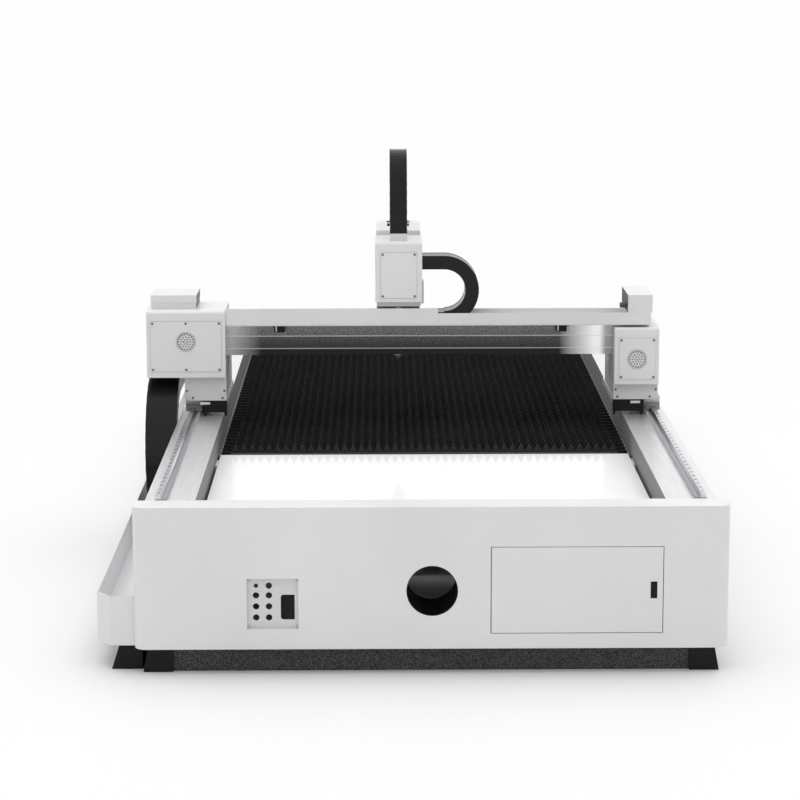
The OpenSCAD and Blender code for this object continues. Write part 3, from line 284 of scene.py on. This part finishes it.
def tint(nodes, links, factor, dark, light):
    """Colour between two tones by a factor."""
    node = nodes.new("ShaderNodeMix")
    node.data_type = "RGBA"
    node.inputs[MIX_FIRST].default_value = (*dark, 1)
    node.inputs[MIX_SECOND].default_value = (*light, 1)
    links.new(factor, node.inputs[MIX_FACTOR])
    return node.outputs[MIX_RESULT]


def finish_surface(nodes, links, bsdf, height, strength, distance, edge):
    """Bump from a height value, on top of softened edges."""
    bump = nodes.new("ShaderNodeBump")
    bump.inputs["Strength"].default_value = strength
    bump.inputs["Distance"].default_value = distance
    links.new(height, bump.inputs["Height"])
    if edge:
        bevel = nodes.new("ShaderNodeBevel")
        bevel.samples = 4
        bevel.inputs["Radius"].default_value = edge
        links.new(bevel.outputs["Normal"], bump.inputs["Normal"])
    links.new(bump.outputs["Normal"], bsdf.inputs["Normal"])


def shade(colour, factor):
    """A colour made darker or lighter."""
    return tuple(min(1.0, c * factor) for c in colour)


def paint(name, colour, rough, coat=0.0, wear=0.05, edge=0.002, grain=350.0):
    """Painted sheet: slow changes of tone, uneven gloss and a fine orange peel."""
    material, nodes, links, bsdf = surface(name)
    slow = noise(nodes, links, PAINT_PATCHES)
    fine = noise(nodes, links, grain, 2.0)
    tone = tint(nodes, links, ramp(nodes, links, slow.outputs["Fac"], 0.0, 1.0), shade(colour, 1 - wear),
                shade(colour, 1 + wear * 0.3))
    links.new(tone, bsdf.inputs["Base Color"])
    links.new(ramp(nodes, links, slow.outputs["Fac"], rough * 0.85, rough * 1.2), bsdf.inputs["Roughness"])
    bsdf.inputs["Coat Weight"].default_value = coat
    bsdf.inputs["Coat Roughness"].default_value = COAT_ROUGHNESS
    finish_surface(nodes, links, bsdf, fine.outputs["Fac"], *PAINT_BUMP, edge)
    return material


def metal(name, colour, rough, stretch, wear=0.12, edge=0.001, metallic=1.0):
    """Worked metal: fine streaks along the cut and a little staining."""
    material, nodes, links, bsdf = surface(name)
    streak = noise(nodes, links, STREAKS, 6.0, stretch)
    slow = noise(nodes, links, METAL_PATCHES)
    tone = tint(nodes, links, ramp(nodes, links, streak.outputs["Fac"], 0.0, 1.0), shade(colour, 1 - wear),
                colour)
    links.new(tone, bsdf.inputs["Base Color"])
    links.new(ramp(nodes, links, slow.outputs["Fac"], rough * 0.8, rough * 1.3), bsdf.inputs["Roughness"])
    bsdf.inputs["Metallic"].default_value = metallic
    finish_surface(nodes, links, bsdf, streak.outputs["Fac"], *METAL_BUMP, edge)
    return material


def moulded(name, colour, rough, wear=0.25, edge=0.001, grain=600.0):
    """Moulded plastic or rubber with a fine grain."""
    return paint(name, colour, rough, 0.0, wear, edge, grain)


def grainy(name, dark, light, rough, scale=95.0):
    """Coarse textured coating with light specks."""
    material, nodes, links, bsdf = surface(name)
    speck = noise(nodes, links, scale, 5.0)
    tone = tint(nodes, links, ramp(nodes, links, speck.outputs["Fac"], 0.0, 1.0, 0.4, 0.62), dark, light)
    links.new(tone, bsdf.inputs["Base Color"])
    links.new(ramp(nodes, links, speck.outputs["Fac"], rough, rough * 0.7), bsdf.inputs["Roughness"])
    finish_surface(nodes, links, bsdf, speck.outputs["Fac"], *GRAIN_BUMP, GRAIN_EDGE)
    return material


def blended(nodes, links, bsdf, steps):
    """Lays colours over the base colour in turn, each by its own factor."""
    tone = bsdf.inputs["Base Color"].links[0].from_socket
    for colour, factor in steps:
        mix = nodes.new("ShaderNodeMix")
        mix.data_type = "RGBA"
        mix.inputs[MIX_SECOND].default_value = (*colour, 1)
        links.new(tone, mix.inputs[MIX_FIRST])
        links.new(factor, mix.inputs[MIX_FACTOR])
        tone = mix.outputs[MIX_RESULT]
    links.new(tone, bsdf.inputs["Base Color"])


def parts_of(nodes, links, node, output):
    """X, Y and Z of a new node's vector output."""
    split = nodes.new("ShaderNodeSeparateXYZ")
    links.new(nodes.new(node).outputs[output], split.inputs["Vector"])
    return split.outputs


def milled(name, top, inside, outside, sign):
    """Steel beam: bright brushed top, dull grey on the well's side, white paint outside."""
    material = metal(name, top, 0.34, (40.0, 1.0, 1.0), metallic=0.8)
    nodes, links = material.node_tree.nodes, material.node_tree.links
    bsdf = nodes["Principled BSDF"]
    normal = parts_of(nodes, links, "ShaderNodeNewGeometry", "Normal")
    down = ramp(nodes, links, normal["Z"], 1.0, 0.0, 0.4, 0.9)
    inward = ramp(nodes, links, normal["X"], 0.0, 1.0, 0.3 * sign, 0.8 * sign)
    blended(nodes, links, bsdf, ((outside, down), (inside, inward)))
    links.new(ramp(nodes, links, normal["Z"], 0.0, 0.8, 0.4, 0.9), bsdf.inputs["Metallic"])
    links.new(ramp(nodes, links, normal["Z"], 0.6, 0.34, 0.4, 0.9), bsdf.inputs["Roughness"])
    return material


def shaded_inner_side(name, colour, side, sign):
    """Painted box with painted shade, a dull grey, on the side that faces the machine's middle."""
    material = paint(name, colour, 0.5)
    nodes, links = material.node_tree.nodes, material.node_tree.links
    normal = parts_of(nodes, links, "ShaderNodeNewGeometry", "Normal")
    # Painted shade on the faces that turn towards the machine's middle
    inward = ramp(nodes, links, normal["X"], 0.0, 1.0, 0.5 * sign, 0.9 * sign)
    blended(nodes, links, nodes["Principled BSDF"], ((side, inward),))
    return material


def tip_highlighted(name, colour, tip_highlight):
    """Dark steel with a painted highlight along its upper edge."""
    material = metal(name, colour, 0.5, (1.0, 20.0, 20.0), wear=0.5, metallic=0.3)
    nodes, links = material.node_tree.nodes, material.node_tree.links
    place = parts_of(nodes, links, "ShaderNodeTexCoord", "Generated")
    # Painted highlight on the top of the slats
    painted_highlight = ramp(nodes, links, place["Z"], 0.0, 1.0, 0.92, 1.0)
    blended(nodes, links, nodes["Principled BSDF"], ((tip_highlight, painted_highlight),))
    return material


def darkened_at_deck(name, colour, deck_end_tone):
    """Painted bars, blackened at the end next to the deck."""
    material = paint(name, colour, 0.55)
    nodes, links = material.node_tree.nodes, material.node_tree.links
    place = parts_of(nodes, links, "ShaderNodeTexCoord", "Generated")
    near_deck = ramp(nodes, links, place["Y"], 1.0, 0.0, 0.004, 0.01)
    blended(nodes, links, nodes["Principled BSDF"], ((deck_end_tone, near_deck),))
    return material


def stops(nodes, links, value, points):
    """A level that runs through the given (place, level) points."""
    node = nodes.new("ShaderNodeValToRGB")
    elements = node.color_ramp.elements
    elements[0].position, elements[1].position = points[0][0], points[-1][0]
    for place, _ in points[1:-1]:
        elements.new(place)
    for element, (_, level) in zip(elements, points):
        element.color = (level, level, level, 1)
    links.new(value, node.inputs["Fac"])
    return node.outputs["Color"]


def beam_darkened_and_lit(name, colour, lower_tone, edge, end):
    """Grained beam metal: darker towards the bottom, with painted highlights along its grooves and painted
    glints at its ends.
    """
    material = metal(name, colour, 0.3, (22.0, 22.0, 22.0), wear=0.55)
    nodes, links = material.node_tree.nodes, material.node_tree.links
    place = parts_of(nodes, links, "ShaderNodeTexCoord", "Generated")
    # Darker lower tone, painted highlights along the grooves and painted glints at the ends
    dark = stops(nodes, links, place["Z"], LOWER_DARKENING)
    painted_highlight = stops(nodes, links, place["Z"], GROOVE_HIGHLIGHTS)
    end_glint = stops(nodes, links, place["X"], END_GLINTS)
    blended(nodes, links, nodes["Principled BSDF"], ((lower_tone, dark), (edge, painted_highlight), (end, end_glint)))
    return material


def dull(material, level=0.2):
    """The same material with a weaker reflection."""
    material.node_tree.nodes["Principled BSDF"].inputs["Specular IOR Level"].default_value = level
    return material


white_paint = paint("white_paint", WHITE, 0.38, coat=0.12)
# The top boxes' inner sides carry painted shade, laid on by the faces' direction
left_box_paint_and_shade = dull(shaded_inner_side("left_box_paint_and_shade", WHITE, (0.2, 0.2, 0.205), 1))
right_box_paint_and_shade = dull(shaded_inner_side("right_box_paint_and_shade", WHITE, (0.1, 0.1, 0.103), -1))
# A brighter copy of the white paint for the axis housing: painted glare
glare_white = paint("glare_white", (0.95, 0.95, 0.96), 0.4, wear=0.01)
deck_gloss = dull(paint("deck_gloss", (0.92, 0.92, 0.93), 0.08, wear=0.01), 0.03)
grey_paint = paint("grey_paint", PALE, 0.45)
# Slat supports: near black at the end next to the deck
comb_grey = darkened_at_deck("comb_grey", (0.2, 0.2, 0.21), (0.006, 0.006, 0.006))
screw_dark = metal("screw_dark", (0.16, 0.16, 0.17), 0.35, (20.0, 20.0, 1.0))
gland_grey = moulded("gland_grey", (0.09, 0.09, 0.095), 0.4)
plate_grey = paint("plate_grey", (0.72, 0.72, 0.73), 0.4)
black_paint = dull(paint("black_paint", BLACK, 0.5, wear=0.3))
left_steel = milled("left_steel", (0.88, 0.88, 0.89), (0.22, 0.22, 0.23), WHITE, 1)
right_steel = milled("right_steel", (0.88, 0.88, 0.89), (0.22, 0.22, 0.23), WHITE, -1)
rail_steel = metal("rail_steel", (0.72, 0.73, 0.75), 0.2, (60.0, 1.0, 60.0))
rack_steel = metal("rack_steel", (0.5, 0.51, 0.53), 0.35, (30.0, 1.0, 30.0))
block_steel = metal("block_steel", (0.42, 0.43, 0.45), 0.34, (1.0, 30.0, 30.0))
# Gantry beam: a darker lower tone, a painted highlight tone for the grooves and a painted glint tone for the
# ends
beam_metal = beam_darkened_and_lit("beam_metal", (0.22, 0.22, 0.225), (0.012, 0.012, 0.012), (0.42, 0.42, 0.43),
                   (0.95, 0.95, 0.96))
# Slats: the lighter tone on their upper edge is a painted highlight
slat_steel = tip_highlighted("slat_steel", (0.014, 0.014, 0.015), (0.06, 0.06, 0.063))
duct_black = dull(grainy("duct_black", (0.002, 0.002, 0.002), (0.006, 0.006, 0.006), 0.7, 200.0))
plinth_grain = dull(grainy("plinth_grain", (0.018, 0.018, 0.019), (0.13, 0.13, 0.135), 0.8, 260.0))
chain_plastic = dull(moulded("chain_plastic", (0.012, 0.012, 0.0125), 0.2))
black_plastic = dull(moulded("black_plastic", (0.006, 0.006, 0.0065), 0.45))
seal_rubber = moulded("seal_rubber", (0.3, 0.3, 0.31), 0.6)
screw_steel = metal("screw_steel", (0.6, 0.6, 0.62), 0.3, (20.0, 20.0, 1.0))
nozzle_brass = metal("nozzle_brass", (0.42, 0.36, 0.26), 0.2, (20.0, 20.0, 1.0))
head_metal = metal("head_metal", (0.12, 0.12, 0.13), 0.4, (1.0, 1.0, 20.0))

LOOKS = {
    white_paint: ["services_panel", "far_panel", "cable_tray", "access_door", "chain_trough", "left_housing",
                  "right_housing", "vent_covers", "motor_housing", "motor_cover"],
    left_box_paint_and_shade: ["left_top_box"],
    right_box_paint_and_shade: ["right_top_box"],
    glare_white: ["axis_housing"],
    deck_gloss: ["deck_plate"],
    plate_grey: ["connector_plate"],
    grey_paint: ["left_foot", "right_foot", "chain_bracket", "chain_clamp", "cross_beams", "scrap_hopper"],
    left_steel: ["left_side_beam"],
    right_steel: ["right_side_beam"],
    block_steel: ["carriage_frame", "slide_blocks", "carriage_blocks", "axis_shoes", "head_slide"],
    rail_steel: ["bed_rails", "cross_rails", "left_pinion", "right_pinion", "cross_pinion", "ball_screw",
                 "door_pins"],
    screw_dark: ["cover_screws"],
    rack_steel: ["bed_racks", "cross_rack"],
    black_paint: ["left_skid", "right_skid", "tray_skid", "bed_motors", "cross_motor", "axis_motor"],
    comb_grey: ["slat_supports"],
    slat_steel: ["slats"],
    plinth_grain: ["plinth_strips"],
    duct_black: ["exhaust_duct"],
    black_plastic: ["latch_cup", "latch_paddle", "limit_sensors", "foot_skirts"],
    gland_grey: ["cable_gland"],
    chain_plastic: ["bed_chain", "cross_chain", "head_chain"],
    seal_rubber: ["rail_wipers"],
    beam_metal: ["gantry_beam"],
    head_metal: ["cutting_head"],
    nozzle_brass: ["nozzle"],
}
for look, names in LOOKS.items():
    for name in names:
        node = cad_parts[name]
        node.data.materials.clear()
        node.data.materials.append(look)


# Drag chains: side plates and lids link by link, in three pieces

def chain_links(kind, length, bend, count):
    """A run's links, each as a function from the offset to the middle line to the points at its two ends."""
    links = []
    for i in range(count):
        if kind == "bend":
            a0, a1 = (-math.pi / 2 + math.pi * (i + k) / count for k in (0, 1))
            gap = LINK_GAP / bend
            links.append(lambda o, a=a0 + gap, b=a1 - gap: [
                ((bend + o) * math.cos(a), (bend + o) * math.sin(a)),
                ((bend + o) * math.cos(b), (bend + o) * math.sin(b))])
        else:
            u0, u1 = (-length + length * (i + k) / count for k in (0, 1))
            if kind == "upper":
                links.append(lambda o, a=u0 + LINK_GAP, b=u1 - LINK_GAP: [(a, bend + o), (b, bend + o)])
            else:
                links.append(lambda o, a=u0 + LINK_GAP, b=u1 - LINK_GAP: [(b, -bend - o), (a, -bend - o)])
    return links


def chain_piece(name, axes, links, half, width, trim):
    """One run of the chain, its links' side plates stepped in and out in turn."""
    build = Builder(*axes)
    for i, link in enumerate(links):
        step = LINK_STEP if i % 2 else 0.0
        for side in (-1, 1):
            w = sorted((side * (width / 2 - step), side * (width / 2 - step - LINK_PLATE)))
            build.prism(counter_clockwise(link(-half + trim) + link(half)[::-1]), w[0], w[1], LINK_EDGE)
        for low, high in ((half - LINK_LID, half - LID_INSET),
                          (-half + trim + LID_INSET, -half + trim + LINK_LID)):
            lid = counter_clockwise(link(low) + link(high)[::-1])
            build.prism(lid, -width / 2 + LINK_PLATE, width / 2 - LINK_PLATE)
    return build.object(name, chain_plastic)


def drag_chain(node, axes, lower, upper, bend, height, width, pitch):
    """Chain of three pieces, lower run, bend and upper run, each put in place with the CAD part hidden."""
    origin, u, v, w = (Vector(p) for p in axes)
    half = height / 2
    runs = {"lower": (max(1, round(lower / pitch)), lower), "bend": (round(math.pi * bend / pitch), 0),
            "upper": (max(1, round(upper / pitch)), upper)}
    for kind, (count, length) in runs.items():
        links = chain_links(kind, length, bend, count)
        trim = LOWER_TRIM if kind == "lower" else 0.0
        piece = chain_piece(node + "_" + kind, (origin, u, v, w), links, half, width, trim)
        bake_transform(piece)
        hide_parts(node)


low, high = (Vector(p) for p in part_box("bed_chain"))
bed_bend = (high.z - low.z - BED_LINK) / 2
bed_centre = Vector(((low.x + high.x) / 2, low.y + bed_bend + BED_LINK / 2, (low.z + high.z) / 2))
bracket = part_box("chain_bracket")
drag_chain("bed_chain", (bed_centre, -Y, Z, X), high.y - bed_centre.y,
           bracket[1][1] - bed_centre.y, bed_bend, BED_LINK, high.x - low.x, BED_PITCH)

low, high = (Vector(p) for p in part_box("cross_chain"))
cross_bend = (high.z - low.z - CROSS_LINK) / 2
cross_centre = Vector((high.x - cross_bend - CROSS_LINK / 2, (low.y + high.y) / 2, (low.z + high.z) / 2))
cross_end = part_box("motor_housing")[0][0] + CROSS_END_INSET
drag_chain("cross_chain", (cross_centre, X, Z, -Y), cross_centre.x - low.x,
           cross_centre.x - cross_end, cross_bend, CROSS_LINK, high.y - low.y, CROSS_PITCH)

low, high = (Vector(p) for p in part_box("head_chain"))
head_bend = (high.y - low.y - HEAD_LINK) / 2
head_centre = Vector(((low.x + high.x) / 2, (low.y + high.y) / 2, HEAD_BEND_Z))
drag_chain("head_chain", (head_centre, Z, Y, -X), head_centre.z - low.z,
           head_centre.z - HEAD_END_Z, head_bend, HEAD_LINK, high.x - low.x, HEAD_PITCH)


# Small fittings

def screw_heads(name, places, body, material, radius):
    """Round heads with a small raised hexagon, facing -Y."""
    build = Builder((0, 0, 0), X, Z, -Y)
    for x, y, z in places:
        top = -y + HEAD_RISE
        build.prism(circle(x, z, radius), -y, top, HEAD_RIM)
        build.prism(circle(x, z, radius * HEXAGON_SHARE, 6), top, top + HEXAGON_RISE)
    piece = build.object(name, material)
    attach(piece, body)


def corners_inside(low, high, y, inset_x, inset_z):
    """Four places inside the corners of a box, on the plane at y."""
    return [(x, y, z) for x in (low[0] + inset_x, high[0] - inset_x)
            for z in (low[2] + inset_z, high[2] - inset_z)]


low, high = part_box("motor_cover")
screw_heads("motor_cover_screws", corners_inside(low, high, low[1], COVER_SCREW_INSET, COVER_SCREW_INSET),
            "carriage", screw_dark, HEAD_RADIUS)
low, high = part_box("connector_plate")
places = corners_inside(low, high, high[1] - PLATE_SHEET, PLATE_SCREW_INSET_X, PLATE_SCREW_INSET_Z)
screw_heads("connector_screws", places, "bed", screw_steel, SMALL_HEAD_RADIUS)


def vents(name, places, front):
    """Grey rings round each vent and a grey filter behind its holes."""
    rings = Builder((0, 0, 0), X, Z, -Y)
    filters = Builder((0, 0, 0), X, Z, -Y)
    for x, z in places:
        for radius in VENT_RADII:
            rings.ring(x, z, radius - RING_WIDTH, radius, -front, -front + RING_RISE)
        filters.prism(circle(x, z, FILTER_RADIUS, FILTER_SIDES), -front - FILTER_BACK, -front - FILTER_FRONT)
    for build, part in ((rings, "rings"), (filters, "filters")):
        piece = build.object(name + "_" + part, seal_rubber)
        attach(piece, "gantry")


left_low, left_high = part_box("left_housing")
right_low, right_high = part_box("right_housing")
vents("vent", [((left_low[0] + left_high[0]) / 2, left_low[2] + LEFT_VENT_RISE),
               ((right_low[0] + right_high[0]) / 2 + RIGHT_VENT_SHIFT, right_low[2] + RIGHT_VENT_RISE)],
      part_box("vent_covers")[0][1] + RING_SEAT)


def cover_edges(low, high, margins):
    """Left, right, lower and upper edge of a cover on the front of a housing with these corners."""
    left, right, lower, upper = margins
    return low[0] + left, high[0] - right, low[2] + lower, high[2] - upper


def shadow_lines(name, edges, face, body):
    """Thin painted shadow lines on a sheet's face, each frame given by the left, right, lower and upper edge
    of its cover.
    """
    build = Builder((0, 0, 0), X, Z, -Y)
    for left, right, lower, upper in edges:
        for strip in ((left - SHADOW_LINE_WIDTH, right + SHADOW_LINE_WIDTH, lower - SHADOW_LINE_WIDTH, lower),
                      (left - SHADOW_LINE_WIDTH, right + SHADOW_LINE_WIDTH, upper, upper + SHADOW_LINE_WIDTH),
                      (left - SHADOW_LINE_WIDTH, left, lower, upper), (right, right + SHADOW_LINE_WIDTH, lower, upper)):
            build.prism(rectangle(*strip), -face, -face + SHADOW_LINE_RISE)
    piece = build.object(name, seal_rubber)
    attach(piece, body)


# Painted shadow lines round the vent covers and the motor cover
shadow_lines("vent_cover_shadow_lines", [cover_edges(left_low, left_high, LEFT_COVER_MARGINS),
                           cover_edges(right_low, right_high, RIGHT_COVER_MARGINS)], left_low[1], "gantry")
low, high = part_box("motor_cover")
shadow_lines("motor_cover_shadow_line", [(low[0], high[0], low[2], high[2])], high[1], "carriage")


def plates(name, boxes, material, body):
    """Plain small plates with softened edges, each given by two corners."""
    build = Builder((0, 0, 0), X, Z, -Y)
    for a, b in boxes:
        build.prism(rectangle(a[0], b[0], a[2], b[2]), -b[1], -a[1], PLATE_RIM)
    piece = build.object(name, material)
    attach(piece, body)


# Pale tabs on the black skirts, and pale brackets on the limit sensors
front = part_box("foot_skirts")[0][1]
plates("skirt_tabs",
       [((x, front - TAB_SHEET, TAB_LOW), (x + TAB_WIDTH, front, TAB_HIGH)) for x in TAB_LEFTS],
       white_paint, "gantry")
low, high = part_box("limit_sensors")
plates("sensor_brackets", [((x, low[1] - BRACKET_SHEET, low[2] + BRACKET_LOW),
                            (x + BRACKET_WIDTH, low[1], high[2] - BRACKET_HIGH))
                           for x in (low[0] + BRACKET_LEFT, high[0] - BRACKET_RIGHT)],
       grey_paint, "gantry")

# Pins on both sides of the vertical chain's end
low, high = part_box("head_chain")
pin = Builder((0, 0, 0), Y, Z, X)
for x0, x1 in ((low[0] - PIN_LEFT, low[0] - PIN_GAP), (high[0] + PIN_GAP, high[0] + PIN_RIGHT)):
    pin.prism(circle(low[1] + PIN_INSET, PIN_Z, PIN_RADIUS), x0, x1, PIN_RIM)
piece = pin.object("chain_pins", black_plastic)
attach(piece, "carriage")


# Stage: floor, sky and camera

def build_floor():
    """Wide pale floor."""
    mesh = bpy.data.meshes.new("floor")
    corners = [(x, y, 0) for x, y in rectangle(-FLOOR_HALF, FLOOR_HALF, -FLOOR_HALF, FLOOR_HALF)]
    mesh.from_pydata(corners, [], [(0, 1, 2, 3)])
    floor = bpy.data.objects.new("floor", mesh)
    bpy.context.collection.objects.link(floor)
    material, _, _, bsdf = surface("floor")
    bsdf.inputs["Base Color"].default_value = (FLOOR_TONE, FLOOR_TONE, FLOOR_TONE, 1)
    bsdf.inputs["Roughness"].default_value = FLOOR_ROUGHNESS
    mesh.materials.append(material)


def build_sky():
    """Soft light, brighter overhead, in front of a plain white background."""
    world = bpy.data.worlds.new("sky")
    bpy.context.scene.world = world
    world.use_nodes = True
    nodes, links = world.node_tree.nodes, world.node_tree.links
    nodes.clear()
    out = nodes.new("ShaderNodeOutputWorld")
    lit = nodes.new("ShaderNodeBackground")
    plain = nodes.new("ShaderNodeBackground")
    plain.inputs["Strength"].default_value = 1.0
    plain.inputs["Color"].default_value = (1, 1, 1, 1)
    mix = nodes.new("ShaderNodeMixShader")
    path = nodes.new("ShaderNodeLightPath")
    place = nodes.new("ShaderNodeTexCoord")
    split = nodes.new("ShaderNodeSeparateXYZ")
    power = nodes.new("ShaderNodeMath")
    power.operation = "POWER"
    power.use_clamp = True
    power.inputs[1].default_value = SKY_POWER
    level = nodes.new("ShaderNodeMapRange")
    level.inputs["To Min"].default_value = SKY_LOW
    level.inputs["To Max"].default_value = SKY_HIGH
    links.new(place.outputs["Generated"], split.inputs["Vector"])
    links.new(split.outputs["Z"], power.inputs[0])
    links.new(power.outputs["Value"], level.inputs["Value"])
    links.new(level.outputs["Result"], lit.inputs["Strength"])
    # Camera, glossy and transmission rays meet the plain background
    seen = nodes.new("ShaderNodeMath")
    seen.operation = "MAXIMUM"
    either = nodes.new("ShaderNodeMath")
    either.operation = "MAXIMUM"
    links.new(path.outputs["Is Camera Ray"], seen.inputs[0])
    links.new(path.outputs["Is Glossy Ray"], seen.inputs[1])
    links.new(seen.outputs["Value"], either.inputs[0])
    links.new(path.outputs["Is Transmission Ray"], either.inputs[1])
    links.new(either.outputs["Value"], mix.inputs["Fac"])
    links.new(lit.outputs["Background"], mix.inputs[1])
    links.new(plain.outputs["Background"], mix.inputs[2])
    links.new(mix.outputs["Shader"], out.inputs["Surface"])


def build_camera():
    """Camera at its place, turned by yaw, pitch and roll."""
    data = bpy.data.cameras.new("camera")
    data.lens = CAMERA_LENS
    data.sensor_width = CAMERA_SENSOR
    data.clip_end = CAMERA_REACH
    camera = bpy.data.objects.new("camera", data)
    bpy.context.collection.objects.link(camera)
    turn = (Matrix.Rotation(math.radians(-CAMERA_YAW), 4, "Z")
            @ Matrix.Rotation(math.radians(90 - CAMERA_PITCH), 4, "X")
            @ Matrix.Rotation(math.radians(CAMERA_ROLL), 4, "Z"))
    camera.matrix_world = Matrix.Translation(CAMERA_PLACE) @ turn
    bpy.context.scene.camera = camera


build_floor()
build_sky()
build_camera()
bpy.context.scene.view_settings.view_transform = "Standard"
